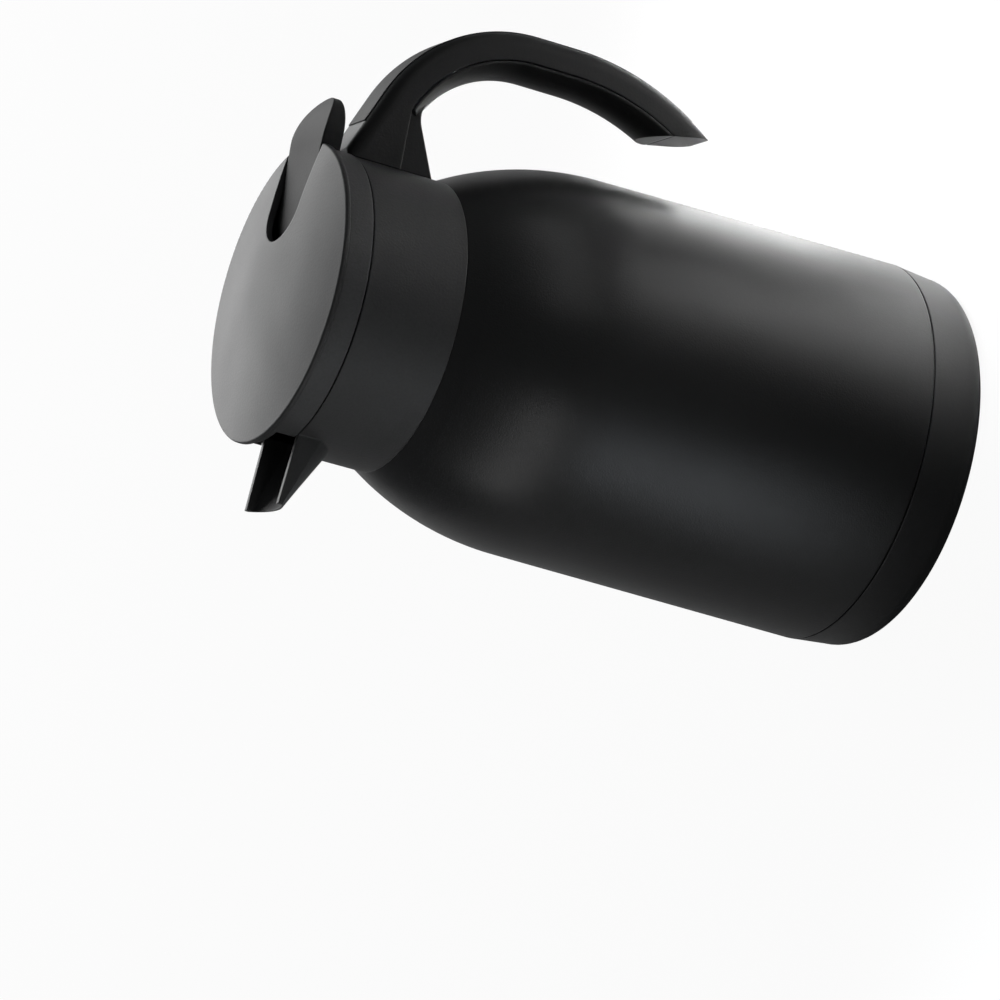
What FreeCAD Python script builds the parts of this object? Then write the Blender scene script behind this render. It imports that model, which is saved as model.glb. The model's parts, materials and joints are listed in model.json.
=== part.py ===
import FreeCAD, Part
import math
import os
import re
import Sketcher

# Thermal carafe with a twist-in stopper lid and a thumb lever, in millimetres, +Z up.
# The origin is the centre of the base pad's underside; the handle points to +X and the spout to -X.
# The pieces are drawn as the carafe is held for pouring: lever pressed, valve open.

SIZES = [
    # vessel
    ("base_height", 22.8, "floor to the seam between base cup and shell"),
    ("base_draft", 1.4, "narrowing of the base cup down to its round edge"),
    ("base_round", 8.0, "round edge under the base cup"),
    ("pad_inset", 13.0, "anti-slip pad within the shell at the base seam"),
    ("pad_thickness", 1.6, "anti-slip pad thickness"),
    ("pad_proud", 0.4, "pad standing out of its recess"),
    ("cup_floor", 2.4, "base cup floor over the pad"),
    ("seam_gap", 0.5, "shadow groove at the base seam"),
    ("foot_inset", 3.6, "step of the steel shell inside the base cup"),
    ("foot_lift", 1.2, "end of the shell above the cup's round edge"),
    ("glue_gap", 0.2, "adhesive gap"),
    ("shell_radius", 67.0, "steel shell at the base seam"),
    ("shell_taper", 1.1, "narrowing of the shell up to the shoulder"),
    ("shoulder_drop", 55.8, "start of the shoulder below the collar"),
    ("shoulder_bend", 108.0, "radius of the shoulder curve"),
    ("shoulder_angle", 27.0, "lean of the shoulder under the collar, degrees"),
    ("shell_height", 168.8, "base seam to the collar"),
    ("steel_wall", 1.0, "sheet thickness of shell and liner"),
    ("pan_rise", 1.2, "flange of the vacuum bottom"),
    ("port_radius", 1.5, "evacuation port"),
    ("button_radius", 4.0, "sealing button over the port"),
    ("button_height", 1.4, "sealing button thickness"),
    ("getter_radius", 8.0, "getter disc in the vacuum space"),
    ("getter_thickness", 1.5, "getter disc thickness"),
    ("getter_offset", 30.0, "getter disc from the axis"),
    ("vacuum_gap", 7.0, "gap between shell and liner"),
    ("bottom_gap", 4.5, "gap between vacuum bottom and liner"),
    ("liner_corner", 12.0, "bottom edge of the liner"),
    ("liner_bend", 70.0, "radius of the liner's shoulder"),
    ("liner_angle", 38.0, "lean of the liner's shoulder, degrees"),
    ("throat_inset", 14.5, "inside of the steel neck within the collar's outside"),
    ("neck_gap", 2.0, "gap between the two walls of the neck"),
    ("neck_height", 13.4, "steel neck above the shoulder ledge"),
    # collar and spout
    ("shoulder_inset", 16.5, "collar within the shell at the base seam"),
    ("collar_height", 34.4, "height of the collar"),
    ("plastic_wall", 2.5, "collar wall"),
    ("sleeve_wall", 2.0, "inner sleeve of the collar"),
    ("sleeve_fit", 0.3, "sleeve around the steel neck"),
    ("sleeve_foot", 3.4, "sleeve end above the shoulder ledge"),
    ("throat_gap", 0.6, "collar throat outside the neck bore"),
    ("gasket_height", 1.5, "gasket between neck rim and collar"),
    ("funnel_wall", 1.7, "funnel thickness at the throat"),
    ("funnel_rise", 1.8, "funnel slope up to the collar wall"),
    ("spout_length", 21.5, "lip in front of the collar"),
    ("spout_root_width", 31.0, "spout where it leaves the collar"),
    ("spout_lip_width", 29.0, "spout at the lip"),
    ("spout_root_depth", 17.5, "keel below the collar's top at the root"),
    ("spout_lip_depth", 5.4, "keel below the lip's rim"),
    ("spout_root_sag", 9.0, "round of the keel at the root"),
    ("spout_lip_sag", 4.0, "round of the keel at the lip"),
    ("spout_rise", 2.0, "lip rim above the collar's top"),
    ("spout_wall", 2.0, "spout wall"),
    # handle
    ("finger_gap", 25.7, "space between body and handle"),
    ("handle_depth", 15.5, "handle from outside to inside"),
    ("handle_outer_depth", 10.0, "outer moulding of the handle"),
    ("handle_width", 22.0, "handle across"),
    ("handle_drop", 27.1, "centre of the upper bend below the shoulder ledge"),
    ("handle_bend", 56.0, "outside radius of the upper bend"),
    ("handle_slope", 24.0, "fall of the handle's top, degrees"),
    ("handle_straight", 14.5, "straight between the two bends"),
    ("handle_curl", 95.0, "outside radius of the lower bend"),
    ("handle_tip", 35.2, "sweep of the lower bend outside, degrees"),
    ("handle_heel", 23.4, "sweep of the lower bend inside, degrees"),
    ("handle_trim", 4.0, "lower bend past the tip before its slanted cut, degrees"),
    ("handle_edge", 5.0, "rounding of the long edges outside"),
    ("belly_side", 0.8, "straight side of the inner moulding above its round belly"),
    ("handle_top_drop", 0.4, "handle root below the collar's top"),
    ("gusset_angle", 56.0, "where the root web leaves the inner bend, degrees"),
    ("web_width", 16.0, "root web across"),
    ("web_inset", 2.2, "root web within the belly of the inner moulding"),
    ("web_start", 30.0, "start of the root web on the upper bend, degrees"),
    ("gusset_bend", 10.0, "round between the inner bend and the root web"),
    ("gusset_slope", 23.4, "fall of the root web to the collar, degrees"),
    ("parting_gap", 0.4, "groove between the two handle mouldings"),
    ("root_gap", 0.1, "handle root to the collar"),
    ("grip_width", 13.6, "soft insert across"),
    ("grip_depth", 1.6, "soft insert below the handle's surface"),
    ("grip_proud", 0.3, "soft insert above the handle's surface"),
    ("grip_lead", 12.5, "soft insert before the upper bend"),
    ("grip_end", 30.0, "soft insert along the lower bend, degrees"),
    ("grip_gap", 0.15, "gap around the soft insert"),
    ("screw_radius", 1.6, "handle screw shank"),
    ("screw_fit", 0.1, "hole around a screw"),
    ("screw_head_radius", 3.0, "handle screw head"),
    ("screw_head_height", 2.2, "handle screw head height"),
    ("screw_reach", 9.5, "screw depth in the handle"),
    ("screw_spacing", 9.0, "distance between the two screws"),
    ("screw_height", 9.6, "screws above the shoulder ledge"),
    ("screw_seat", 1.0, "screw head inside the collar wall"),
    # stopper and cover
    ("lid_gap", 0.7, "collar to lid"),
    ("skirt_height", 8.5, "skirt of the lid"),
    ("skirt_overhang", 0.5, "skirt outside the collar"),
    ("skirt_wall", 2.5, "skirt wall"),
    ("rim_gap", 0.3, "shadow groove under the cover"),
    ("cover_overhang", 1.1, "cover outside the skirt"),
    ("cover_edge", 1.8, "height of the cover's rim"),
    ("cover_round", 0.9, "rounding of the cover's rim"),
    ("cover_dome", 5.2, "rise of the cover to its middle"),
    ("cover_wall", 2.0, "cover thickness"),
    ("spigot_wall", 1.5, "locating ring under the cover"),
    ("spigot_height", 3.2, "locating ring height"),
    ("spigot_fit", 0.3, "locating ring inside the skirt"),
    ("deck_wall", 2.0, "deck of the stopper"),
    ("plug_depth", 30.7, "plug below the deck"),
    ("plug_fit", 0.8, "plug inside the neck"),
    ("plug_wall", 2.6, "plug wall"),
    ("plug_floor", 2.5, "plug floor"),
    ("ring_height", 4.8, "neck seal height"),
    ("ring_depth", 1.2, "neck seal groove"),
    ("ring_fit", 0.3, "neck seal inside the neck"),
    ("ring_play", 0.08, "neck seal in its groove"),
    ("ring_lift", 2.0, "neck seal above the plug's end"),
    ("seat_radius", 13.0, "valve opening"),
    ("well_radius", 8.5, "spring well in the deck"),
    ("well_depth", 9.7, "spring well below the deck's top"),
    ("well_wall", 2.0, "spring well wall"),
    ("pour_width", 28.0, "pour window"),
    ("hood_wall", 1.6, "hood over the pour window"),
    ("hood_depth", 12.8, "hood from the skirt inwards"),
    # lever
    ("pivot_offset", 21.0, "lever pin in front of the axis"),
    ("pivot_height", 5.5, "lever pin above the deck's underside"),
    ("press_angle", 7.1, "lever travel, degrees"),
    ("pin_radius", 1.5, "lever pin"),
    ("pin_play", 0.05, "lever on its pin"),
    ("boss_radius", 3.0, "lever boss around the pin"),
    ("ear_radius", 3.4, "ears of the lever pin"),
    ("ear_width", 3.0, "ear thickness"),
    ("ear_gap", 0.6, "lever between the ears"),
    ("arm_width", 12.0, "lever arm under the cover"),
    ("arm_bottom", 0.3, "lever arm's underside above the pin's axis"),
    ("arm_thickness", 2.2, "lever arm thickness"),
    ("slot_front", 16.3, "front end of the cover's slot"),
    ("slot_bend", 12.5, "round front end of the slot"),
    ("slot_width", 30.0, "slot at the cover's rim"),
    ("slot_gap", 0.9, "lever inside the slot"),
    ("slot_lead", 0.6, "extra gap at the slot's front end"),
    ("lever_top", 10.7, "lever's top above the deck's underside, pressed"),
    ("lever_depth", 7.1, "height of the lever's sides"),
    ("lever_wall", 2.2, "lever wall"),
    ("tab_reach", 17.0, "thumb tab behind the cover's rim"),
    ("tab_drop", 5.9, "fall of the thumb tab to its tip"),
    # valve
    ("seat_clear", 0.2, "valve seal to its seat when closed"),
    ("valve_overlap", 3.5, "valve seal outside the opening"),
    ("valve_inset", 2.0, "valve seal inside the opening"),
    ("valve_seal_height", 1.5, "valve seal thickness"),
    ("plate_margin", 1.5, "valve plate outside its seal"),
    ("plate_thickness", 2.7, "valve plate"),
    ("stem_radius", 3.0, "valve stem"),
    ("stem_fit", 0.08, "stem in its guide"),
    ("stem_foot", 5.0, "flange under the valve plate"),
    ("stem_foot_height", 1.5, "flange thickness"),
    ("cap_radius", 7.0, "stem cap"),
    ("cap_dome", 1.5, "round top of the stem cap"),
    ("cap_edge", 1.0, "straight edge of the stem cap"),
    ("cap_clear", 0.35, "stem cap under the lever arm"),
    ("spring_radius", 5.5, "valve spring, middle of the wire"),
    ("spring_wire", 1.0, "spring wire diameter"),
    ("spring_turns", 5.0, "turns of the valve spring"),
    ("spring_seat", 0.05, "spring to its seats"),
]

doc = FreeCAD.newDocument("ThermalCarafe")
sheet = doc.addObject("Spreadsheet::Sheet", "Sizes")
for row, (alias, size, note) in enumerate(SIZES, start=1):
    sheet.set(f"A{row}", alias)
    sheet.set(f"B{row}", str(size))
    sheet.setAlias(f"B{row}", alias)
    sheet.set(f"C{row}", note)
doc.recompute()
ALIASES = {alias for alias, size, note in SIZES}
PIECES = []

# Heights and radii that several pieces share, as expressions of the sizes
FOOT_RADIUS = "(shell_radius - foot_inset)"
PAD_RADIUS = "(shell_radius - pad_inset)"
FOOT_END = "(base_round + pad_proud + foot_lift)"
FOOT_INSIDE = f"({FOOT_RADIUS} - steel_wall)"
PAN_TOP = f"({FOOT_END} + pan_rise + steel_wall)"
SHOULDER_RADIUS = "(shell_radius - shell_taper)"
LEDGE = "(base_height + shell_height)"
SHOULDER_START = f"({LEDGE} - shoulder_drop)"
NECK_TOP = f"({LEDGE} + neck_height)"
COLLAR_RADIUS = "(shell_radius - shoulder_inset)"
NECK_RADIUS = f"({COLLAR_RADIUS} - throat_inset)"
LINER_NECK = f"({NECK_RADIUS} + steel_wall)"
SHELL_NECK = f"({LINER_NECK} + neck_gap + steel_wall)"
LINER_RADIUS = f"({SHOULDER_RADIUS} - steel_wall - vacuum_gap)"
LINER_BOTTOM = f"({PAN_TOP} + bottom_gap)"
COLLAR_TOP = f"({LEDGE} + collar_height)"
COLLAR_INSIDE = f"({COLLAR_RADIUS} - plastic_wall)"
THROAT = f"({NECK_RADIUS} + throat_gap)"
SLEEVE_INSIDE = f"({SHELL_NECK} + sleeve_fit)"
SLEEVE_OUTSIDE = f"({SLEEVE_INSIDE} + sleeve_wall)"
GASKET_TOP = f"({NECK_TOP} + gasket_height)"
FUNNEL_LOW = f"({GASKET_TOP} + funnel_wall)"
FUNNEL_HIGH = f"({FUNNEL_LOW} + funnel_rise)"
SPOUT_TIP = f"({COLLAR_RADIUS} + spout_length)"
LIP_RIM = f"({COLLAR_TOP} + spout_rise)"
SCREW_SPOT = f"({LEDGE} + screw_height)"
SCREW_SEAT = f"({COLLAR_INSIDE} - screw_seat)"
DECK_LOW = f"({COLLAR_TOP} + lid_gap)"
DECK_TOP = f"({DECK_LOW} + deck_wall)"
SKIRT_TOP = f"({DECK_LOW} + skirt_height)"
SKIRT_RADIUS = f"({COLLAR_RADIUS} + skirt_overhang)"
SKIRT_INSIDE = f"({SKIRT_RADIUS} - skirt_wall)"
COVER_LOW = f"({SKIRT_TOP} + rim_gap)"
COVER_RIM = f"({COVER_LOW} + cover_edge)"
COVER_RADIUS = f"({SKIRT_RADIUS} + cover_overhang)"
PLUG_RADIUS = f"({NECK_RADIUS} - plug_fit)"
PLUG_INSIDE = f"({PLUG_RADIUS} - plug_wall)"
PLUG_END = f"({DECK_LOW} - plug_depth)"
RING_LOW = f"({PLUG_END} + ring_lift)"
RING_HIGH = f"({RING_LOW} + ring_height)"
RING_ROOT = f"({PLUG_RADIUS} - ring_depth)"
WELL_FLOOR = f"({DECK_TOP} - well_depth)"
PIVOT_Z = f"({DECK_LOW} + pivot_height)"
ARM_LOW = f"({PIVOT_Z} + arm_bottom)"
LEVER_HIGH = f"({DECK_LOW} + lever_top)"
LEVER_LOW = f"({LEVER_HIGH} - lever_depth)"
VALVE_TRAVEL = "(pivot_offset * tan(press_angle))"
SEAL_TOP = f"({PLUG_END} - seat_clear - {VALVE_TRAVEL})"
PLATE_TOP = f"({SEAL_TOP} - valve_seal_height)"
PLATE_LOW = f"({PLATE_TOP} - plate_thickness)"
CAP_TOP = f"({ARM_LOW} - cap_clear)"
CAP_LOW = f"({CAP_TOP} - cap_dome - cap_edge)"


def bound(expression):
    """The expression with every size read from the sheet, for use outside the sheet."""
    return re.sub(r"[a-z_]+", lambda word: f"Sizes.{word[0]}" if word[0] in ALIASES else word[0], expression)


def value(expression):
    """The number that an expression of the sizes gives."""
    return float(sheet.evalExpression(expression))


def new_body(label):
    """An empty body for one piece of the carafe."""
    body = doc.addObject("PartDesign::Body", label)
    body.Label = label
    body.Placement = FreeCAD.Placement()
    PIECES.append(body)
    return body


def sketch_on(body, name, role, offset="0"):
    """A sketch on one of the body's origin planes, moved along the plane's normal by an expression."""
    sketch = body.newObject("Sketcher::SketchObject", name)
    plane = next(feature for feature in body.Origin.OriginFeatures if feature.Role == role)
    sketch.AttachmentSupport = [(plane, "")]
    sketch.MapMode = "FlatFace"
    sketch.setExpression(".AttachmentOffset.Base.z", bound(offset))
    return sketch


def arc_side(start, end, bend):
    """An arc from start to end; a positive bend turns left, a negative one right."""
    chord = end - start
    left = FreeCAD.Vector(-chord.y, chord.x, 0).normalize()
    reach = math.sqrt(max(bend ** 2 - chord.Length ** 2 / 4, 0))
    centre = (start + end) / 2 + left * math.copysign(reach, bend)
    circle = Part.Circle(centre, FreeCAD.Vector(0, 0, 1), abs(bend))
    first, last = (start, end) if bend > 0 else (end, start)
    return Part.ArcOfCircle(circle, circle.parameter(first), circle.parameter(last))


def draw(sketch, corners):
    """A closed outline bound to the sizes.

    A corner is (across, up) or (across, up, bend), all expressions; bend is the signed radius of
    the side that leaves the corner.
    """
    spots = [FreeCAD.Vector(value(corner[0]), value(corner[1]), 0) for corner in corners]
    sides = []
    for i, corner in enumerate(corners):
        start, end = spots[i], spots[(i + 1) % len(spots)]
        if len(corner) == 2:
            sides.append((sketch.addGeometry(Part.LineSegment(start, end)), 1, 2))
            continue
        bend = value(corner[2])
        side = sketch.addGeometry(arc_side(start, end, bend))
        sides.append((side, 1, 2) if bend > 0 else (side, 2, 1))
    rules = []
    bindings = {}
    for i, corner in enumerate(corners):
        side, first, last = sides[i]
        following = sides[(i + 1) % len(sides)]
        rules.append(Sketcher.Constraint("Coincident", side, last, following[0], following[1]))
        for kind, axis, place, spot in (("DistanceX", -2, corner[0], spots[i].x),
                                        ("DistanceY", -1, corner[1], spots[i].y)):
            if place == "0":
                rules.append(Sketcher.Constraint("PointOnObject", side, first, axis))
                continue
            bindings[len(rules)] = place
            rules.append(Sketcher.Constraint(kind, -1, 1, side, first, spot))
        if len(corner) == 3:
            bindings[len(rules)] = f"abs({corner[2]})"
            rules.append(Sketcher.Constraint("Radius", side, abs(value(corner[2]))))
    sketch.addConstraint(rules)
    for index, expression in bindings.items():
        sketch.setExpression(f"Constraints[{index}]", bound(expression))


def draw_circle(sketch, across, up, radius):
    """A circle bound to the sizes."""
    centre = FreeCAD.Vector(value(across), value(up), 0)
    circle = sketch.addGeometry(Part.Circle(centre, FreeCAD.Vector(0, 0, 1), value(radius)))
    bindings = {}
    for kind, axis, place, spot in (("DistanceX", -2, across, centre.x), ("DistanceY", -1, up, centre.y)):
        if place == "0":
            sketch.addConstraint(Sketcher.Constraint("PointOnObject", circle, 3, axis))
        else:
            bindings[sketch.addConstraint(Sketcher.Constraint(kind, -1, 1, circle, 3, spot))] = place
    bindings[sketch.addConstraint(Sketcher.Constraint("Radius", circle, value(radius)))] = radius
    for index, expression in bindings.items():
        sketch.setExpression(f"Constraints[{index}]", bound(expression))


def extrude(body, kind, sketch, length, symmetric=False, reverse=False):
    """A Pad or a Pocket of a sketch; a Pocket has to take something away."""
    doc.recompute()
    before = body.Shape.Volume if kind == "Pocket" else 0
    feature = body.newObject(f"PartDesign::{kind}", f"{sketch.Name}_{kind}")
    feature.Profile = sketch
    feature.setExpression("Length", bound(length))
    feature.SideType = "Symmetric" if symmetric else "One side"
    feature.Reversed = reverse
    doc.recompute()
    if kind == "Pocket" and not body.Shape.Volume < before:
        raise RuntimeError(f"{sketch.Name} cuts nothing")
    return feature


def revolved(label, corners):
    """A piece turned about the carafe's axis, from its half section of (radius, height) corners."""
    body = new_body(label)
    sketch = sketch_on(body, f"{label}_section", "XZ_Plane")
    draw(sketch, corners)
    turn = body.newObject("PartDesign::Revolution", f"{label}_turn")
    turn.Profile = sketch
    turn.ReferenceAxis = (sketch, ["V_Axis"])
    turn.Angle = 360
    doc.recompute()
    return body


def rectangle(left, low, right, high):
    """Corners of an upright rectangle."""
    return [(left, low), (right, low), (right, high), (left, high)]


# Vessel

def make_base():
    """Plastic base cup with its anti-slip pad."""
    inside = f"{FOOT_RADIUS} + glue_gap"
    floor_top = "pad_thickness + cup_floor"
    rim = "base_height - seam_gap"
    corner_top = "base_round + pad_proud"
    corner_radius = "shell_radius - base_draft"
    ledge = f"{FOOT_END} - glue_gap"
    revolved("base_cup", [
        (inside, rim), (inside, ledge), (f"{FOOT_INSIDE} - glue_gap", ledge),
        (f"{corner_radius} - base_round", floor_top), ("0", floor_top), ("0", "pad_thickness"),
        (f"{PAD_RADIUS} + glue_gap", "pad_thickness"), (f"{PAD_RADIUS} + glue_gap", "pad_proud"),
        (f"{corner_radius} - base_round", "pad_proud", "base_round"), (corner_radius, corner_top),
        ("shell_radius", rim)])
    revolved("base_pad", [("0", "0"), (PAD_RADIUS, "0"), (PAD_RADIUS, "pad_thickness"),
                          ("0", "pad_thickness")])


def make_shell():
    """Steel outer wall: stepped foot, straight wall, rounded shoulder, ledge and neck."""
    sweep = "shoulder_bend * (1 - cos(shoulder_angle))"
    rise = f"{SHOULDER_START} + shoulder_bend * sin(shoulder_angle)"
    inner_sweep = "(shoulder_bend - steel_wall) * cos(shoulder_angle) - shoulder_bend"
    inner_rise = f"{SHOULDER_START} + (shoulder_bend - steel_wall) * sin(shoulder_angle)"
    ledge_low = f"{LEDGE} - steel_wall"
    neck_end = f"{NECK_TOP} - steel_wall"
    revolved("outer_shell", [
        (FOOT_INSIDE, FOOT_END), (FOOT_RADIUS, FOOT_END), (FOOT_RADIUS, "base_height"),
        ("shell_radius", "base_height"), (SHOULDER_RADIUS, SHOULDER_START, "shoulder_bend"),
        (f"{SHOULDER_RADIUS} - {sweep}", rise), (COLLAR_RADIUS, LEDGE), (SHELL_NECK, LEDGE),
        (SHELL_NECK, neck_end), (f"{SHELL_NECK} - steel_wall", neck_end),
        (f"{SHELL_NECK} - steel_wall", ledge_low), (f"{COLLAR_RADIUS} - steel_wall", ledge_low),
        (f"{SHOULDER_RADIUS} + {inner_sweep}", inner_rise, "steel_wall - shoulder_bend"),
        (f"{SHOULDER_RADIUS} - steel_wall", SHOULDER_START),
        ("shell_radius - steel_wall", "base_height + steel_wall"),
        (FOOT_INSIDE, "base_height + steel_wall")])


def make_vacuum_bottom():
    """Steel pan that closes the vacuum, its sealing button and the getter disc inside."""
    pan_low = f"{FOOT_END} + pan_rise"
    flange = f"{FOOT_INSIDE} - steel_wall"
    revolved("vacuum_pan", [
        ("port_radius", pan_low), (flange, pan_low), (flange, FOOT_END), (FOOT_INSIDE, FOOT_END),
        (FOOT_INSIDE, PAN_TOP), ("port_radius", PAN_TOP)])
    button_low = f"{pan_low} - button_height"
    revolved("vacuum_seal", [
        ("0", button_low), ("button_radius", button_low), ("button_radius", pan_low),
        ("port_radius", pan_low), ("port_radius", PAN_TOP), ("0", PAN_TOP)])
    getter = doc.addObject("Part::Cylinder", "getter")
    getter.Label = "getter"
    getter.setExpression("Radius", bound("getter_radius"))
    getter.setExpression("Height", bound("getter_thickness"))
    getter.setExpression(".Placement.Base.x", bound("getter_offset"))
    getter.setExpression(".Placement.Base.z", bound(PAN_TOP))
    PIECES.append(getter)


def make_liner():
    """Steel inner bottle, hung from the rim of the neck."""
    bend_end = "liner_bend * cos(liner_angle)"
    inner_end = "(liner_bend - steel_wall) * cos(liner_angle)"
    centre = f"({LINER_RADIUS} - liner_bend)"
    outer_spot = f"({centre} + {bend_end})"
    inner_spot = f"({centre} + {inner_end})"
    outer_rise = f"({SHOULDER_START} + liner_bend * sin(liner_angle))"
    inner_rise = f"({SHOULDER_START} + (liner_bend - steel_wall) * sin(liner_angle))"
    neck_start = f"{outer_rise} + ({outer_spot} - {LINER_NECK}) / tan(liner_angle)"
    neck_inner_start = f"{inner_rise} + ({inner_spot} - {NECK_RADIUS}) / tan(liner_angle)"
    floor = f"{LINER_BOTTOM} + steel_wall"
    corner = f"{LINER_BOTTOM} + liner_corner"
    flange_low = f"{NECK_TOP} - steel_wall"
    revolved("inner_liner", [
        ("0", LINER_BOTTOM), (f"{LINER_RADIUS} - liner_corner", LINER_BOTTOM, "liner_corner"),
        (LINER_RADIUS, corner), (LINER_RADIUS, SHOULDER_START, "liner_bend"), (outer_spot, outer_rise),
        (LINER_NECK, neck_start), (LINER_NECK, flange_low), (SHELL_NECK, flange_low),
        (SHELL_NECK, NECK_TOP), (NECK_RADIUS, NECK_TOP), (NECK_RADIUS, neck_inner_start),
        (inner_spot, inner_rise, "steel_wall - liner_bend"),
        (f"{LINER_RADIUS} - steel_wall", SHOULDER_START),
        (f"{LINER_RADIUS} - steel_wall", corner, "steel_wall - liner_corner"),
        (f"{LINER_RADIUS} - liner_corner", floor), ("0", floor)])


# Collar

def spout_section(body, name, place, width, rim, keel, sag):
    """U-shaped section of the spout at a distance in front of the axis."""
    half = f"({width} / 2)"
    side = f"{keel} + {sag}"
    sketch = sketch_on(body, name, "YZ_Plane", f"-{place}")
    draw(sketch, [(f"-{half}", rim), (f"-{half}", side, f"({half} ^ 2 + ({sag}) ^ 2) / (2 * ({sag}))"),
                  (half, side), (half, rim)])
    return sketch


def loft(body, kind, first, last):
    """A loft between two sketches, added or taken away."""
    feature = body.newObject(f"PartDesign::{kind}Loft", f"{first.Name}_loft")
    feature.Profile = first
    feature.Sections = [last]
    doc.recompute()


def make_collar():
    """Collar with its inner sleeve, pouring funnel and open spout, and the gasket under it."""
    body = revolved("spout_collar", [
        (THROAT, GASKET_TOP), (SLEEVE_INSIDE, GASKET_TOP), (SLEEVE_INSIDE, f"{LEDGE} + sleeve_foot"),
        (SLEEVE_OUTSIDE, f"{LEDGE} + sleeve_foot"), (SLEEVE_OUTSIDE, GASKET_TOP),
        (COLLAR_INSIDE, f"{GASKET_TOP} + funnel_rise"), (COLLAR_INSIDE, LEDGE), (COLLAR_RADIUS, LEDGE),
        (COLLAR_RADIUS, COLLAR_TOP), (COLLAR_INSIDE, COLLAR_TOP), (COLLAR_INSIDE, FUNNEL_HIGH),
        (THROAT, FUNNEL_LOW)])
    root_keel = f"({COLLAR_TOP} - spout_root_depth)"
    lip_keel = f"({LIP_RIM} - spout_lip_depth)"
    past_tip = f"({SPOUT_TIP} + spout_wall)"
    root = spout_section(body, "spout_root", COLLAR_INSIDE, "spout_root_width", COLLAR_TOP, root_keel,
                         "spout_root_sag")
    lip = spout_section(body, "spout_lip", SPOUT_TIP, "spout_lip_width", LIP_RIM, lip_keel, "spout_lip_sag")
    loft(body, "Additive", root, lip)
    trough_root = spout_section(body, "trough_root", COLLAR_INSIDE, "(spout_root_width - 2 * spout_wall)",
                                f"{LIP_RIM} + spout_wall", f"({root_keel} + spout_wall)",
                                "spout_root_sag - spout_wall")
    trough_lip = spout_section(body, "trough_lip", past_tip, "(spout_lip_width - 2 * spout_wall)",
                               f"{LIP_RIM} + spout_wall", f"({lip_keel} + spout_wall)",
                               "spout_lip_sag - spout_wall")
    loft(body, "Subtractive", trough_root, trough_lip)
    mouth = spout_section(body, "mouth", f"({COLLAR_INSIDE} + spout_wall / 2)",
                          "(spout_root_width - 2 * spout_wall)", f"{LIP_RIM} + spout_wall",
                          f"({root_keel} + spout_wall)", "spout_root_sag - spout_wall")
    extrude(body, "Pocket", mouth, "spout_root_width / 3", reverse=True)
    for side, across in (("left", "-screw_spacing / 2"), ("right", "screw_spacing / 2")):
        hole = sketch_on(body, f"collar_hole_{side}", "YZ_Plane", SCREW_SEAT)
        draw_circle(hole, across, SCREW_SPOT, "screw_radius + screw_fit")
        extrude(body, "Pocket", hole, "plastic_wall + 2 * screw_seat", reverse=True)
    revolved("collar_gasket", [(THROAT, NECK_TOP), (SHELL_NECK, NECK_TOP), (SHELL_NECK, GASKET_TOP),
                               (THROAT, GASKET_TOP)])


# Handle

REACH = "(shell_radius + finger_gap + handle_depth)"
BEND_X = f"({REACH} - handle_bend)"
BEND_Z = f"({LEDGE} - handle_drop)"
CURL_X = f"({REACH} - handle_curl)"
CURL_Z = f"({BEND_Z} - handle_straight)"
TOP_TURN = "(90 - handle_slope)"
HALF_HANDLE = "(handle_width / 2)"
PARTING = "(handle_outer_depth + parting_gap)"
ROOT_X = f"({COLLAR_INSIDE} - plastic_wall)"
ROOT_TOP = f"({COLLAR_TOP} - handle_top_drop)"


def on_bend(inset, angle, bend=""):
    """A corner on the upper bend, inset from the handle's outside, at an angle above the level."""
    radius = f"(handle_bend - ({inset}))"
    corner = (f"{BEND_X} + {radius} * cos({angle})", f"{BEND_Z} + {radius} * sin({angle})")
    return corner + (f"{bend}{radius}",) if bend else corner


def on_curl(inset, angle, bend=""):
    """A corner on the lower bend, inset from the handle's outside, at an angle below the level."""
    radius = f"(handle_curl - ({inset}))"
    corner = (f"{CURL_X} + {radius} * cos({angle})", f"{CURL_Z} - {radius} * sin({angle})")
    return corner + (f"{bend}{radius}",) if bend else corner


def up_the_slope(distance, inset):
    """A corner on the sloping top, a distance before the upper bend."""
    start = on_bend(inset, TOP_TURN)
    return (f"{start[0]} - {distance} * cos(handle_slope)", f"{start[1]} + {distance} * sin(handle_slope)")


def strip(inset, depth, lead, sweep):
    """Outline of a layer of the handle that follows both bends."""
    low = f"{inset} + {depth}"
    return [up_the_slope(lead, inset), on_bend(inset, TOP_TURN, "-"), on_bend(inset, "0"),
            on_curl(inset, "0", "-"), on_curl(inset, sweep), on_curl(low, sweep, "+"), on_curl(low, "0"),
            on_bend(low, "0", "+"), on_bend(low, TOP_TURN), up_the_slope(lead, low)]


def outer_section(outside):
    """Section of the outer moulding: flat inside, rounded long edges outside."""
    flat = f"{outside} - handle_outer_depth"
    side = f"{outside} - handle_edge"
    return [(flat, f"-{HALF_HANDLE}"), (side, f"-{HALF_HANDLE}", "handle_edge"),
            (outside, f"handle_edge - {HALF_HANDLE}"),
            (outside, f"{HALF_HANDLE} - handle_edge", "handle_edge"), (side, HALF_HANDLE), (flat, HALF_HANDLE)]


def inner_section(outside):
    """Section of the inner moulding: flat outside, a round belly inside."""
    belly = f"(handle_depth - {PARTING} - belly_side)"
    flat = f"{outside} - {PARTING}"
    side = f"{flat} - belly_side"
    return [(flat, HALF_HANDLE), (side, HALF_HANDLE, f"({HALF_HANDLE} ^ 2 + {belly} ^ 2) / (2 * {belly})"),
            (side, f"-{HALF_HANDLE}"), (flat, f"-{HALF_HANDLE}")]


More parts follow.
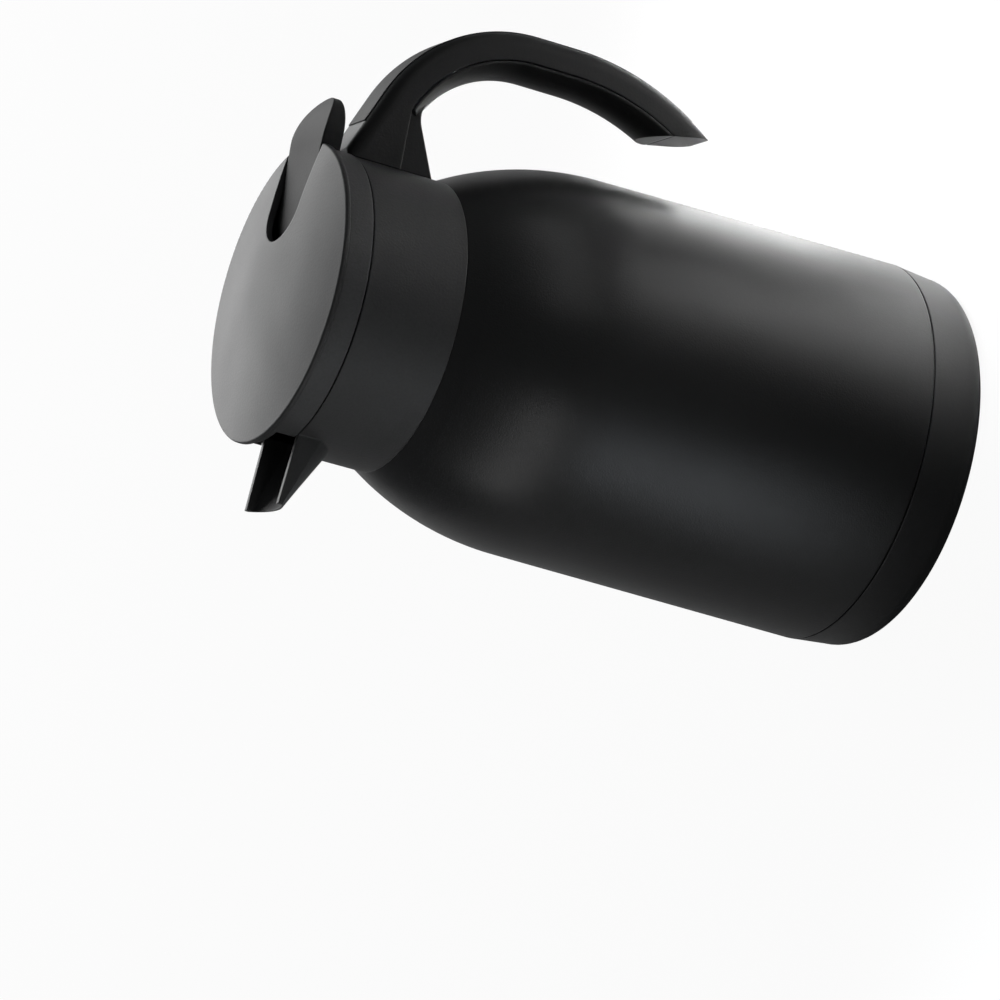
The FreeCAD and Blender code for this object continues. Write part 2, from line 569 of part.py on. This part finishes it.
def bend_bar(body, name, section, place, angle, downward):
    """Turns a section of the handle about a level axis at (across, height)."""
    sketch = sketch_on(body, name, "XY_Plane", place[1])
    sketch.setExpression(".AttachmentOffset.Base.x", bound(place[0]))
    draw(sketch, section)
    turn = body.newObject("PartDesign::Revolution", f"{name}_turn")
    turn.Profile = sketch
    turn.ReferenceAxis = (sketch, ["V_Axis"])
    turn.setExpression("Angle", bound(angle))
    turn.Reversed = not downward
    doc.recompute()


def bar(body, section):
    """A moulding of the handle: straight length, upper bend and lower bend of one section."""
    straight = sketch_on(body, f"{body.Name}_straight", "XY_Plane", CURL_Z)
    draw(straight, section(REACH))
    extrude(body, "Pad", straight, "handle_straight")
    bend_bar(body, f"{body.Name}_upper", section("handle_bend"), (BEND_X, BEND_Z), TOP_TURN, False)
    bend_bar(body, f"{body.Name}_lower", section("handle_curl"), (CURL_X, CURL_Z), "handle_tip + handle_trim",
             True)


def against_collar(body, name):
    """Cuts the root of a handle moulding to sit on the round of the collar."""
    seat = sketch_on(body, name, "XY_Plane", f"{LEDGE} - collar_height")
    draw_circle(seat, "0", "0", f"{COLLAR_RADIUS} + root_gap")
    extrude(body, "Pocket", seat, "3 * collar_height", reverse=True)


def cut_end(body, name):
    """Cuts the lower end of a handle moulding along the slant from the outer tip to the inner heel."""
    tip = on_curl("0", "handle_tip")
    heel = on_curl("handle_depth", "handle_heel")
    low_x, low_z = (f"(1.5 * ({tip[i]}) - 0.5 * ({heel[i]}))" for i in (0, 1))
    high_x, high_z = (f"(1.5 * ({heel[i]}) - 0.5 * ({tip[i]}))" for i in (0, 1))
    slant = sketch_on(body, name, "XZ_Plane")
    draw(slant, [(low_x, low_z), (high_x, high_z), (f"{high_x} - handle_width", high_z),
                 (f"{low_x} - handle_width", low_z)])
    extrude(body, "Pocket", slant, "2 * handle_width", symmetric=True)


def make_handle():
    """Two-piece open handle with a soft insert along its outside, and its two screws."""
    body = new_body("handle_outer")
    bar(body, outer_section)
    slope = sketch_on(body, "outer_slope", "XY_Plane", BEND_Z)
    across = FreeCAD.Vector(0, 1, 0)
    slope.AttachmentOffset = FreeCAD.Placement(FreeCAD.Vector(), FreeCAD.Rotation(across, -1))
    slope.setExpression(".AttachmentOffset.Base.x", bound(BEND_X))
    slope.setExpression(".AttachmentOffset.Rotation.Angle", bound(f"-{TOP_TURN}"))
    draw(slope, outer_section("handle_bend"))
    top = on_bend("0", TOP_TURN)
    extrude(body, "Pad", slope, f"({top[0]} - {ROOT_X}) / cos(handle_slope)")
    parting_start = on_bend("handle_outer_depth", TOP_TURN)
    wedge = sketch_on(body, "outer_wedge", "XZ_Plane")
    wedge_top = up_the_slope(f"({parting_start[0]} - {ROOT_X}) / cos(handle_slope)", "handle_edge")
    draw(wedge, [(ROOT_X, parting_start[1]), parting_start, on_bend("handle_edge", TOP_TURN),
                 (ROOT_X, wedge_top[1])])
    extrude(body, "Pad", wedge, "handle_width", symmetric=True)
    flat = sketch_on(body, "outer_flat", "XZ_Plane")
    draw(flat, rectangle(f"{ROOT_X} - handle_width", ROOT_TOP, f"{BEND_X} + handle_width",
                         f"{ROOT_TOP} + handle_bend"))
    extrude(body, "Pocket", flat, "2 * handle_width", symmetric=True)
    against_collar(body, "outer_seat")
    cut_end(body, "outer_end")
    recess = sketch_on(body, "grip_recess", "XZ_Plane")
    sink = "(grip_proud + grip_depth)"
    draw(recess, strip(f"-{sink}", f"{sink} + grip_depth", "(grip_lead + grip_gap)", "(grip_end + grip_gap)"))
    extrude(body, "Pocket", recess, "grip_width + 2 * grip_gap", symmetric=True)

    grip = new_body("handle_grip")
    layer = sketch_on(grip, "grip_side", "XZ_Plane")
    draw(layer, strip("-grip_proud", "grip_proud + grip_depth", "grip_lead", "grip_end"))
    extrude(grip, "Pad", layer, "grip_width", symmetric=True)

    inner = new_body("handle_inner")
    bar(inner, inner_section)
    web_low = "(handle_depth - web_inset)"
    inner_start = on_bend(PARTING, TOP_TURN)
    gusset = on_bend(f"{web_low} + gusset_bend", "gusset_angle")
    gusset_x = f"({gusset[0]} - gusset_bend * sin(gusset_slope))"
    gusset_z = f"({gusset[1]} + gusset_bend * cos(gusset_slope))"
    web = sketch_on(inner, "inner_web", "XZ_Plane")
    draw(web, [(ROOT_X, inner_start[1]), on_bend(PARTING, TOP_TURN, "-"), on_bend(PARTING, "web_start"),
               on_bend(web_low, "web_start", "+"), on_bend(web_low, "gusset_angle") + ("gusset_bend",),
               (gusset_x, gusset_z), (ROOT_X, f"{gusset_z} - ({gusset_x} - {ROOT_X}) * tan(gusset_slope)")])
    extrude(inner, "Pad", web, "web_width", symmetric=True)
    against_collar(inner, "inner_seat")
    cut_end(inner, "inner_end")
    for name, across in (("left", "-screw_spacing / 2"), ("right", "screw_spacing / 2")):
        hole = sketch_on(inner, f"handle_hole_{name}", "YZ_Plane", SCREW_SEAT)
        draw_circle(hole, across, SCREW_SPOT, "screw_radius + screw_fit")
        extrude(inner, "Pocket", hole, "screw_seat + plastic_wall + screw_reach + screw_fit", reverse=True)

    shanks = []
    for across in (-1, 1):
        spot = FreeCAD.Vector(value(SCREW_SEAT), across * value("screw_spacing / 2"), value(SCREW_SPOT))
        along = FreeCAD.Vector(1, 0, 0)
        shank = Part.makeCylinder(value("screw_radius"), value("screw_seat + plastic_wall + screw_reach"),
                                  spot, along)
        head = Part.makeCylinder(value("screw_head_radius"), value("screw_head_height"), spot, -along)
        shanks.append(shank.fuse(head).removeSplitter())
    screws = doc.addObject("Part::Feature", "handle_screws")
    screws.Label = "handle_screws"
    screws.Shape = Part.makeCompound(shanks)
    screws.Placement = FreeCAD.Placement()
    PIECES.append(screws)


# Lid

def make_stopper():
    """Stopper: skirt, deck, hollow plug with valve opening, spring well, pour hood and lever ears."""
    well_outside = "well_radius + well_wall"
    well_low = f"{WELL_FLOOR} - well_wall"
    guide = "stem_radius + stem_fit"
    floor_top = f"{PLUG_END} + plug_floor"
    body = revolved("stopper", [
        (guide, well_low), (well_outside, well_low), (well_outside, DECK_LOW), (PLUG_INSIDE, DECK_LOW),
        (PLUG_INSIDE, floor_top), ("seat_radius", floor_top), ("seat_radius", PLUG_END),
        (PLUG_RADIUS, PLUG_END), (PLUG_RADIUS, RING_LOW), (RING_ROOT, RING_LOW), (RING_ROOT, RING_HIGH),
        (PLUG_RADIUS, RING_HIGH), (PLUG_RADIUS, DECK_LOW), (SKIRT_RADIUS, DECK_LOW),
        (SKIRT_RADIUS, SKIRT_TOP), (SKIRT_INSIDE, SKIRT_TOP), (SKIRT_INSIDE, DECK_TOP),
        ("well_radius", DECK_TOP), ("well_radius", WELL_FLOOR), (guide, WELL_FLOOR)])
    half_hood = "(pour_width / 2 + hood_wall)"
    hood_back = f"({SKIRT_INSIDE} - hood_depth)"
    hood = sketch_on(body, "hood", "XY_Plane", DECK_LOW)
    draw(hood, rectangle(f"-{SKIRT_INSIDE}", f"-{half_hood}", f"-{hood_back}", half_hood))
    extrude(body, "Pad", hood, "skirt_height - rim_gap")
    half_pour = "(pour_width / 2)"
    hood_room = sketch_on(body, "hood_room", "YZ_Plane", f"-({hood_back} + hood_wall)")
    draw(hood_room, rectangle(f"-{half_pour}", f"{DECK_LOW} - lid_gap", half_pour,
                              f"{SKIRT_TOP} - rim_gap - hood_wall"))
    extrude(body, "Pocket", hood_room, "hood_depth + skirt_wall")
    window = sketch_on(body, "pour_window", "YZ_Plane", f"-({PLUG_INSIDE} - plug_wall - pour_width / 3)")
    draw(window, rectangle(f"-{half_pour}", f"{FUNNEL_LOW} + lid_gap", half_pour, DECK_LOW))
    extrude(body, "Pocket", window, "pour_width")
    notch = sketch_on(body, "lever_notch", "YZ_Plane", f"{SKIRT_INSIDE} - skirt_wall - slot_width / 6")
    draw(notch, rectangle("-slot_width / 2", f"{LEVER_LOW} - slot_gap", "slot_width / 2",
                          f"{SKIRT_TOP} + lid_gap"))
    extrude(body, "Pocket", notch, "slot_width", reverse=True)
    ear_span = "(arm_width + 2 * ear_gap + 2 * ear_width)"
    ears = sketch_on(body, "ears", "XZ_Plane")
    draw(ears, [("-(pivot_offset + ear_radius)", DECK_LOW), ("-(pivot_offset - ear_radius)", DECK_LOW),
                ("-(pivot_offset - ear_radius)", PIVOT_Z, "ear_radius"),
                ("-pivot_offset", f"{PIVOT_Z} + ear_radius", "ear_radius"),
                ("-(pivot_offset + ear_radius)", PIVOT_Z)])
    extrude(body, "Pad", ears, ear_span, symmetric=True)
    fork = sketch_on(body, "ear_fork", "XZ_Plane")
    draw(fork, rectangle("-(pivot_offset + 2 * ear_radius)", DECK_TOP, "-(pivot_offset - 2 * ear_radius)",
                         f"{PIVOT_Z} + 2 * ear_radius"))
    extrude(body, "Pocket", fork, "arm_width + 2 * ear_gap", symmetric=True)
    eye = sketch_on(body, "ear_eye", "XZ_Plane")
    draw_circle(eye, "-pivot_offset", PIVOT_Z, "pin_radius")
    extrude(body, "Pocket", eye, ear_span, symmetric=True)

    pin = new_body("lever_pin")
    section = sketch_on(pin, "pin_section", "XZ_Plane")
    draw_circle(section, "-pivot_offset", PIVOT_Z, "pin_radius")
    extrude(pin, "Pad", section, ear_span, symmetric=True)
    revolved("neck_seal", [
        (f"{RING_ROOT} + ring_play", f"{RING_LOW} + ring_play"),
        (f"{NECK_RADIUS} - ring_fit", f"{RING_LOW} + ring_play"),
        (f"{NECK_RADIUS} - ring_fit", f"{RING_HIGH} - ring_play"),
        (f"{RING_ROOT} + ring_play", f"{RING_HIGH} - ring_play")])


def slot_outline(front, bend, half_rear, rear):
    """Plan of the lever slot: a round front end that widens to an open rear."""
    middle = f"({front} + {bend})"
    return [(middle, f"-{bend}", f"-{bend}"), (front, "0", f"-{bend}"), (middle, bend),
            (rear, half_rear), (rear, f"-{half_rear}")]


def make_cover():
    """Domed lid cover with a locating ring under it and a slot for the lever."""
    spigot = f"{SKIRT_INSIDE} - spigot_fit"
    edge = f"({COVER_RADIUS} - cover_round)"
    top = f"{COVER_RIM} + cover_dome"
    dome = f"(({edge} ^ 2 + cover_dome ^ 2) / (2 * cover_dome))"
    under = f"(({spigot} - spigot_wall) ^ 2 + cover_dome ^ 2) / (2 * cover_dome)"
    body = revolved("lid_cover", [
        ("0", f"{top} - cover_wall", f"-{under}"),
        (f"{spigot} - spigot_wall", f"{COVER_RIM} - cover_wall"),
        (f"{spigot} - spigot_wall", f"{COVER_LOW} - spigot_height"), (spigot, f"{COVER_LOW} - spigot_height"),
        (spigot, COVER_LOW), (COVER_RADIUS, COVER_LOW),
        (COVER_RADIUS, f"{COVER_RIM} - cover_round", "cover_round"), (edge, COVER_RIM, dome), ("0", top)])
    slot = sketch_on(body, "lever_slot", "XY_Plane", f"{COVER_LOW} - 2 * spigot_height")
    draw(slot, slot_outline("slot_front", "slot_bend", "(slot_width / 2)", f"({COVER_RADIUS} + cover_round)"))
    extrude(body, "Pocket", slot, "3 * spigot_height + 2 * cover_dome", reverse=True)
    half_hood = "(pour_width / 2 + hood_wall + spigot_fit)"
    relief = sketch_on(body, "hood_relief", "XY_Plane", f"{COVER_LOW} - 2 * spigot_height")
    hood_back = f"({SKIRT_INSIDE} - hood_depth - spigot_fit)"
    draw(relief, rectangle(f"-{COVER_RADIUS}", f"-{half_hood}", f"-{hood_back}", half_hood))
    extrude(body, "Pocket", relief, "2 * spigot_height - spigot_fit / 10", reverse=True)


def make_lever():
    """Thumb lever: hollow tab in the slot, arm over the valve stem and boss around the pin."""
    body = new_body("thumb_lever")
    bend = "(slot_bend - slot_gap)"
    front = "(slot_front + slot_gap + slot_lead)"
    half = "(slot_width / 2 - slot_gap)"
    tip = f"({COVER_RADIUS} + tab_reach)"
    middle = f"({front} + {bend})"
    tab_start = f"({tip} - {half})"
    plan = sketch_on(body, "lever_plan", "XY_Plane", LEVER_LOW)
    draw(plan, [(middle, f"-{bend}", f"-{bend}"), (front, "0", f"-{bend}"), (middle, bend),
                (tab_start, half, f"-{half}"), (tip, "0", f"-{half}"), (tab_start, f"-{half}")])
    extrude(body, "Pad", plan, "lever_depth")
    past_tip = f"({tip} + slot_gap)"
    run = "(tab_reach + slot_gap)"
    nose = sketch_on(body, "tab_nose", "XZ_Plane")
    draw(nose, [(COVER_RADIUS, LEVER_HIGH, f"-({run} ^ 2 + tab_drop ^ 2) / (2 * tab_drop)"),
                (past_tip, f"{LEVER_HIGH} - tab_drop"), (past_tip, f"{LEVER_HIGH} + slot_gap"),
                (COVER_RADIUS, f"{LEVER_HIGH} + slot_gap")])
    extrude(body, "Pocket", nose, "2 * slot_width", symmetric=True)
    hollow = sketch_on(body, "lever_hollow", "XY_Plane", LEVER_LOW)
    draw(hollow, slot_outline(f"({front} + lever_wall)", f"({bend} - lever_wall)", f"({half} - lever_wall)",
                              f"({COVER_RADIUS} + lever_wall)"))
    extrude(body, "Pocket", hollow, "lever_depth - lever_wall", reverse=True)
    arm = sketch_on(body, "lever_arm", "XZ_Plane")
    draw(arm, rectangle("-pivot_offset", ARM_LOW, f"{front} + lever_wall", f"{ARM_LOW} + arm_thickness"))
    extrude(body, "Pad", arm, "arm_width", symmetric=True)
    boss = sketch_on(body, "lever_boss", "XZ_Plane")
    draw_circle(boss, "-pivot_offset", PIVOT_Z, "boss_radius")
    extrude(body, "Pad", boss, "arm_width", symmetric=True)
    eye = sketch_on(body, "lever_eye", "XZ_Plane")
    draw_circle(eye, "-pivot_offset", PIVOT_Z, "pin_radius + pin_play")
    extrude(body, "Pocket", eye, "2 * arm_width", symmetric=True)


# Valve

def make_valve():
    """Stem, plate, seal, cap and return spring of the pouring valve, drawn open."""
    foot_low = f"{PLATE_LOW} - stem_foot_height"
    stem_top = f"{CAP_LOW} + cap_edge"
    revolved("valve_stem", [("0", foot_low), ("stem_foot", foot_low), ("stem_foot", PLATE_LOW),
                            ("stem_radius", PLATE_LOW), ("stem_radius", stem_top), ("0", stem_top)])
    revolved("valve_plate", [("stem_radius + stem_fit", PLATE_LOW),
                             ("seat_radius + valve_overlap + plate_margin", PLATE_LOW),
                             ("seat_radius + valve_overlap + plate_margin", PLATE_TOP),
                             ("stem_radius + stem_fit", PLATE_TOP)])
    revolved("valve_seal", [("seat_radius - valve_inset", PLATE_TOP),
                            ("seat_radius + valve_overlap", PLATE_TOP),
                            ("seat_radius + valve_overlap", SEAL_TOP),
                            ("seat_radius - valve_inset", SEAL_TOP)])
    dome = "(cap_radius ^ 2 + cap_dome ^ 2) / (2 * cap_dome)"
    revolved("stem_cap", [("stem_radius + stem_fit", CAP_LOW), ("cap_radius", CAP_LOW),
                          ("cap_radius", f"{CAP_LOW} + cap_edge", dome), ("0", CAP_TOP), ("0", stem_top),
                          ("stem_radius + stem_fit", stem_top)])


def helix_spot(turn, low, pitch):
    """A point of the spring's middle line."""
    angle = 2 * math.pi * turn
    radius = value("spring_radius")
    return FreeCAD.Vector(radius * math.cos(angle), radius * math.sin(angle), low + pitch * turn)


def make_spring():
    """Return spring around the stem, from the well's floor to the stem cap, as quarter-turn arcs."""
    wire = value("spring_wire / 2")
    low = value(WELL_FLOOR) + wire + value("spring_seat")
    high = value(CAP_LOW) - wire - value("spring_seat")
    turns = value("spring_turns")
    pitch = (high - low) / turns
    quarters = round(4 * turns)
    arcs = [Part.Arc(helix_spot(quarter / 4, low, pitch), helix_spot((quarter + 0.5) / 4, low, pitch),
                     helix_spot((quarter + 1) / 4, low, pitch)).toShape() for quarter in range(quarters)]
    route = Part.Wire(arcs)
    start = arcs[0].valueAt(arcs[0].FirstParameter)
    ahead = arcs[0].tangentAt(arcs[0].FirstParameter)
    section = Part.Wire(Part.makeCircle(wire, start, ahead))
    tube = route.makePipeShell([section], True, False)
    print("spring: least gap between turns", round(pitch - 2 * wire, 2), "mm")
    share = tube.Volume / (math.pi * wire ** 2 * route.Length)
    print("spring: volume over section times length", round(share, 3))
    spring = doc.addObject("Part::Feature", "valve_spring")
    spring.Label = "valve_spring"
    spring.Shape = tube
    spring.Placement = FreeCAD.Placement()
    PIECES.append(spring)


def check_and_write():
    """Stops on any failed object or shape, then writes one file per piece."""
    doc.recompute()
    for item in doc.Objects:
        if "Invalid" in item.State or "Error" in item.State:
            raise RuntimeError(f"{item.Name} failed: {item.State}")
    for piece in PIECES:
        if piece.Shape.isNull() or not piece.Shape.isValid() or not piece.Shape.Solids:
            raise RuntimeError(f"{piece.Label} has no sound shape")
    os.makedirs("parts", exist_ok=True)
    for piece in PIECES:
        piece.Shape.exportStep(f"parts/{piece.Label}.step")
        print(piece.Label, len(piece.Shape.Solids), "solids", round(piece.Shape.Volume / 1000, 2), "cm3")


make_base()
make_shell()
make_vacuum_bottom()
make_liner()
make_collar()
make_handle()
make_stopper()
make_cover()
make_lever()
make_valve()
make_spring()
check_and_write()
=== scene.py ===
import json
import math

import bpy
from mathutils import Matrix, Vector

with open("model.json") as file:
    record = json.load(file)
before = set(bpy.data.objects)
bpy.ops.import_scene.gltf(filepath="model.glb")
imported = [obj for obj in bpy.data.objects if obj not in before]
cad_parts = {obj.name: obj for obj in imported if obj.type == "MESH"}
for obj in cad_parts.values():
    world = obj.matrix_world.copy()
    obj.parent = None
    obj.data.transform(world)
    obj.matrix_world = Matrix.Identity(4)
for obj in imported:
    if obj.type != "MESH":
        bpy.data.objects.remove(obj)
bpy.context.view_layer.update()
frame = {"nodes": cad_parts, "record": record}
NODES = frame["nodes"]

# Camera, fitted to the photo: the carafe lies tipped in the picture, so the camera is rolled
CAMERA_AZIMUTH = math.radians(-11.577)
CAMERA_ELEVATION = math.radians(22.918)
CAMERA_ROLL = math.radians(-74.688)
CAMERA_TARGET = Vector((-0.04639, 0.0095, 0.13951))
CAMERA_DISTANCE = 2.37375
CAMERA_LENS = 252.0
SENSOR_WIDTH = 36.0
CLIP_END = 20.0

# Lamps: name, place, aim, size, watts, colour, beam in degrees
# The upright wall mirrors the floor, so the narrow beams light floor patches that show as its highlights
BODY = (0, 0, 0.12)
WHITE = (1, 1, 1)
COOL = (0.88, 0.94, 1.0)
LAMPS = (
    ("floor_light", (0.34, 0.26, 0.80), (0.20, 0.12, 0), (0.14, 0.14), 1.2, WHITE, 24),
    ("front_patch", (0.34, -0.24, 0.80), (0.22, -0.18, 0), (0.10, 0.10), 0.36, WHITE, 18),
    ("base_patch", (0.30, -0.25, 0.80), (0.10, -0.07, 0), (0.06, 0.06), 0.16, WHITE, 12),
    ("side_patch", (-0.42, -0.26, 0.90), (-0.24, -0.19, 0), (0.10, 0.10), 0.32, COOL, 18),
    ("lid_fill", (0.40, 1.6, 0.85), BODY, (1.6, 1.3), 22, WHITE, 180),
    ("left_fill", (-1.5, -0.7, 0.16), BODY, (2.2, 0.3), 4, WHITE, 180),
    ("right_fill", (1.2, -0.9, 0.16), BODY, (1.8, 0.3), 1.6, WHITE, 180),
)

# Surroundings: what lights the carafe, and how much of the floor the camera sees as plain white
SKY_COLOUR = (0.93, 0.96, 1.0, 1)
SKY_STRENGTH = 0.10
FLOOR_SIZE = 12
FLOOR_DROP = 0.0002
FLOOR_GREY = (0.55, 0.55, 0.55, 1)
FLOOR_WHITE_SHARE = 0.95

# Softening of the edges, in the shading alone: bevels fold faces of these meshes
SHADED_ROUND = 0.0008
ROUND_SAMPLES = 6

# How far the roughness of a finish wanders over a few centimetres
ROUGHNESS_DRIFT = 0.02
DRIFT_SCALE = 35.0


def camera_axes():
    """Right, up and back vectors of the rolled camera."""
    back = Vector((math.cos(CAMERA_ELEVATION) * math.sin(CAMERA_AZIMUTH),
                   -math.cos(CAMERA_ELEVATION) * math.cos(CAMERA_AZIMUTH),
                   math.sin(CAMERA_ELEVATION)))
    level_right = Vector((0, 0, 1)).cross(back).normalized()
    level_up = back.cross(level_right)
    right = level_right * math.cos(CAMERA_ROLL) + level_up * math.sin(CAMERA_ROLL)
    return right, back.cross(right), back


RIGHT, UP, BACK = camera_axes()


def add_camera():
    """The photo's camera."""
    data = bpy.data.cameras.new("photo_camera")
    data.lens = CAMERA_LENS
    data.sensor_width = SENSOR_WIDTH
    data.clip_end = CLIP_END
    camera = bpy.data.objects.new("photo_camera", data)
    place = CAMERA_TARGET + BACK * CAMERA_DISTANCE
    camera.matrix_world = Matrix((
        (RIGHT.x, UP.x, BACK.x, place.x),
        (RIGHT.y, UP.y, BACK.y, place.y),
        (RIGHT.z, UP.z, BACK.z, place.z),
        (0, 0, 0, 1)))
    bpy.context.collection.objects.link(camera)
    bpy.context.scene.camera = camera


def add_softbox(name, middle, aim, size, power, colour, spread):
    """A rectangular lamp at middle, turned to aim, its beam narrowed to spread degrees."""
    data = bpy.data.lights.new(name, "AREA")
    data.shape = "RECTANGLE"
    data.size, data.size_y = size
    data.energy = power
    data.spread = math.radians(spread)
    data.color = colour
    lamp = bpy.data.objects.new(name, data)
    lamp.location = middle
    lamp.rotation_euler = (Vector(aim) - Vector(middle)).to_track_quat("-Z", "Y").to_euler()
    bpy.context.collection.objects.link(lamp)


def add_surroundings():
    """A dim sky that the camera sees as white."""
    world = bpy.data.worlds.new("studio")
    world.use_nodes = True
    nodes, links = world.node_tree.nodes, world.node_tree.links
    light = nodes["Background"]
    light.inputs["Color"].default_value = SKY_COLOUR
    light.inputs["Strength"].default_value = SKY_STRENGTH
    white = nodes.new("ShaderNodeBackground")
    white.inputs["Strength"].default_value = 1.0
    path = nodes.new("ShaderNodeLightPath")
    seen = nodes.new("ShaderNodeMixShader")
    links.new(path.outputs["Is Camera Ray"], seen.inputs["Fac"])
    links.new(light.outputs["Background"], seen.inputs[1])
    links.new(white.outputs["Background"], seen.inputs[2])
    links.new(seen.outputs["Shader"], nodes["World Output"].inputs["Surface"])
    bpy.context.scene.world = world


def add_floor():
    """A pale floor that keeps a light shadow."""
    bpy.ops.mesh.primitive_plane_add(size=FLOOR_SIZE, location=(0, 0, -FLOOR_DROP))
    floor = bpy.context.object
    floor.name = "floor"
    paint = bpy.data.materials.new("floor_white")
    paint.use_nodes = True
    nodes, links = paint.node_tree.nodes, paint.node_tree.links
    surface = nodes["Principled BSDF"]
    surface.inputs["Base Color"].default_value = FLOOR_GREY
    surface.inputs["Roughness"].default_value = 1.0
    surface.inputs["Specular IOR Level"].default_value = 0.0
    glow = nodes.new("ShaderNodeEmission")
    glow.inputs["Strength"].default_value = 1.0
    path = nodes.new("ShaderNodeLightPath")
    share = nodes.new("ShaderNodeMath")
    share.operation = "MULTIPLY"
    share.inputs[1].default_value = FLOOR_WHITE_SHARE
    links.new(path.outputs["Is Camera Ray"], share.inputs[0])
    seen = nodes.new("ShaderNodeMixShader")
    links.new(share.outputs["Value"], seen.inputs["Fac"])
    links.new(surface.outputs["BSDF"], seen.inputs[1])
    links.new(glow.outputs["Emission"], seen.inputs[2])
    links.new(seen.outputs["Shader"], nodes["Material Output"].inputs["Surface"])
    floor.data.materials.append(paint)


def surface_material(name, colour, roughness, grain, depth, metallic=0.0, mottle=0.25, shine=0.5):
    """A procedural finish: fine grain in bump and colour, a broad drift in roughness, softened edges."""
    material = bpy.data.materials.new(name)
    material.use_nodes = True
    nodes, links = material.node_tree.nodes, material.node_tree.links
    shader = nodes["Principled BSDF"]
    shader.inputs["Metallic"].default_value = metallic
    shader.inputs["Specular IOR Level"].default_value = shine
    place = nodes.new("ShaderNodeTexCoord")

    fine = nodes.new("ShaderNodeTexNoise")
    fine.inputs["Scale"].default_value = 1 / grain
    fine.inputs["Detail"].default_value = 3.0
    links.new(place.outputs["Object"], fine.inputs["Vector"])
    bump = nodes.new("ShaderNodeBump")
    bump.inputs["Strength"].default_value = 1.0
    bump.inputs["Distance"].default_value = depth
    links.new(fine.outputs["Fac"], bump.inputs["Height"])
    edge = nodes.new("ShaderNodeBevel")
    edge.samples = ROUND_SAMPLES
    edge.inputs["Radius"].default_value = SHADED_ROUND
    links.new(edge.outputs["Normal"], bump.inputs["Normal"])
    links.new(bump.outputs["Normal"], shader.inputs["Normal"])

    broad = nodes.new("ShaderNodeTexNoise")
    broad.inputs["Scale"].default_value = DRIFT_SCALE
    broad.inputs["Detail"].default_value = 4.0
    links.new(place.outputs["Object"], broad.inputs["Vector"])
    drift = nodes.new("ShaderNodeMapRange")
    drift.inputs["From Min"].default_value = 0.3
    drift.inputs["From Max"].default_value = 0.7
    drift.inputs["To Min"].default_value = roughness - ROUGHNESS_DRIFT
    drift.inputs["To Max"].default_value = roughness + ROUGHNESS_DRIFT
    links.new(broad.outputs["Fac"], drift.inputs["Value"])
    links.new(drift.outputs["Result"], shader.inputs["Roughness"])

    tone = nodes.new("ShaderNodeMix")
    tone.data_type = "RGBA"
    tone.inputs["A"].default_value = (*(c * (1 - mottle) for c in colour), 1)
    tone.inputs["B"].default_value = (*(c * (1 + mottle) for c in colour), 1)
    links.new(fine.outputs["Fac"], tone.inputs["Factor"])
    links.new(tone.outputs["Result"], shader.inputs["Base Color"])
    return material


def dress_nodes():
    """Gives each piece of the frame its finish."""
    coat = surface_material("black_coat", (0.008, 0.008, 0.008), 0.34, 0.0006, 0.00005)
    plastic = surface_material("black_plastic", (0.011, 0.011, 0.011), 0.46, 0.0008, 0.00005, shine=0.32)
    satin = surface_material("satin_plastic", (0.034, 0.034, 0.034), 0.50, 0.0008, 0.00006)
    soft = surface_material("soft_black", (0.010, 0.010, 0.011), 0.62, 0.0010, 0.00008)
    steel = surface_material("steel", (0.56, 0.56, 0.55), 0.28, 0.0008, 0.00002, metallic=1.0, mottle=0.08)
    rubber = surface_material("grey_rubber", (0.30, 0.30, 0.29), 0.60, 0.0012, 0.00005, mottle=0.1)
    valve = surface_material("valve_plastic", (0.045, 0.045, 0.047), 0.42, 0.0010, 0.00004)
    finish = {"black_coat": coat, "black_plastic": plastic, "soft_black": soft, "steel": steel,
              "grey_rubber": rubber, "valve_plastic": valve}
    # The stopper's plastic is a lighter grey than the lid's: painted light, standing in for the light that
    # its band, tilted towards the top, catches.
    stopper_painted_light = surface_material("stopper_plastic_painted_light", (0.055, 0.055, 0.055), 0.50, 0.0008, 0.00006)
    cup = surface_material("cup_plastic", (0.012, 0.012, 0.012), 0.40, 0.0008, 0.00005)
    tab = surface_material("lever_plastic", (0.011, 0.011, 0.011), 0.58, 0.0008, 0.00005, shine=0.26)
    own_finish = {"spout_collar": satin, "lid_cover": satin, "stopper": stopper_painted_light, "base_cup": cup,
                  "thumb_lever": tab}
    for subpart in frame["record"]["subparts"]:
        node = NODES[subpart["node"]]
        node.data.materials.clear()
        node.data.materials.append(own_finish.get(subpart["node"], finish[subpart["material_slot"]]))


add_camera()
add_surroundings()
add_floor()
for lamp in LAMPS:
    add_softbox(*lamp)
dress_nodes()

bpy.context.scene.view_settings.view_transform = "Standard"
